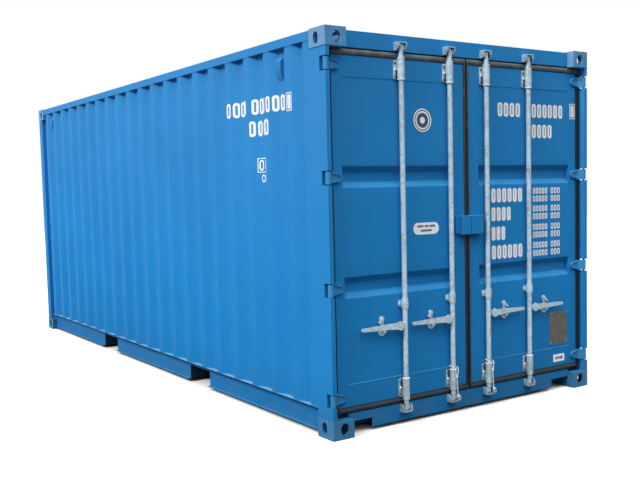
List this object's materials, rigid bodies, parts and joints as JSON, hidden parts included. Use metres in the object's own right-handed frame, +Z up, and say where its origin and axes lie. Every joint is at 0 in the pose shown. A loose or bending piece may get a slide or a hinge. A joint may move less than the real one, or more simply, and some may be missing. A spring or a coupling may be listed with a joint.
{
  "type": "shipping container",
  "caption": "Steel dry freight container with corrugated walls, twist-lock corner castings and a double end door that is closed by lock rods with cams and handles.",
  "frame": {"origin": "on the ground at the middle of the footprint", "axes": "+X along the length towards the doors, +Y across to the right-hand door, +Z up"},
  "size_m": [6.058, 2.438, 2.591],
  "materials": {
    "blue_paint": "satin paint with light dirt and wear",
    "underframe_paint": "dull dark coating",
    "zinc": "hot-dip galvanised",
    "gasket_rubber": "matt rubber",
    "plywood": "oiled plywood",
    "rope": "laid white rope"
  },
  "bodies": {
    "frame": {"top_corner_castings": "blue_paint", "bottom_corner_castings": "blue_paint", "left_door_post": "blue_paint", "right_door_post": "blue_paint", "front_posts": "blue_paint", "door_header": "blue_paint", "door_sill": "blue_paint", "front_header": "blue_paint", "front_sill": "blue_paint", "top_side_rails": "blue_paint", "bottom_side_rails": "blue_paint", "left_side_wall": "blue_paint", "right_side_wall": "blue_paint", "front_wall": "blue_paint", "roof": "blue_paint", "cross_members": "underframe_paint", "fork_pockets": "underframe_paint", "floor_panels": "plywood", "ventilators": "blue_paint", "cam_keepers": "zinc", "hinge_pins": "blue_paint"},
    "left_door": {"left_door_frame": "blue_paint", "left_door_panel": "blue_paint", "left_door_gasket": "gasket_rubber", "left_hinge_blades": "blue_paint", "left_rod_brackets": "zinc", "left_handle_retainers": "zinc", "left_lock_box": "blue_paint", "left_tie_rope": "rope"},
    "right_door": {"right_door_frame": "blue_paint", "right_door_panel": "blue_paint", "right_door_gasket": "gasket_rubber", "right_hinge_blades": "blue_paint", "right_rod_brackets": "zinc", "right_handle_retainers": "zinc", "right_lock_box": "blue_paint", "right_tie_rope": "rope"},
    "lock_rod_1": {"lock_rod_1": "zinc", "lock_handle_1": "zinc"},
    "lock_rod_2": {"lock_rod_2": "zinc", "lock_handle_2": "zinc"},
    "lock_rod_3": {"lock_rod_3": "zinc", "lock_handle_3": "zinc"},
    "lock_rod_4": {"lock_rod_4": "zinc", "lock_handle_4": "zinc"}
  },
  "joints": [
    {"name": "left_door_hinge", "type": "hinge", "parent": "frame", "child": "left_door", "pos_m": [3.005, -1.199, 1.3], "axis": [0, 0, -1], "range_deg": [0, 262]},
    {"name": "right_door_hinge", "type": "hinge", "parent": "frame", "child": "right_door", "pos_m": [3.005, 1.199, 1.3], "axis": [0, 0, 1], "range_deg": [0, 262]},
    {"name": "lock_rod_1_turn", "type": "hinge", "parent": "left_door", "child": "lock_rod_1", "pos_m": [2.996, -0.598, 1.3], "axis": [0, 0, -1], "range_deg": [-110, 0]},
    {"name": "lock_rod_2_turn", "type": "hinge", "parent": "left_door", "child": "lock_rod_2", "pos_m": [2.996, -0.173, 1.3], "axis": [0, 0, -1], "range_deg": [-110, 0]},
    {"name": "lock_rod_3_turn", "type": "hinge", "parent": "right_door", "child": "lock_rod_3", "pos_m": [2.996, 0.173, 1.3], "axis": [0, 0, 1], "range_deg": [-110, 0]},
    {"name": "lock_rod_4_turn", "type": "hinge", "parent": "right_door", "child": "lock_rod_4", "pos_m": [2.996, 0.598, 1.3], "axis": [0, 0, 1], "range_deg": [-110, 0]}
  ]
}
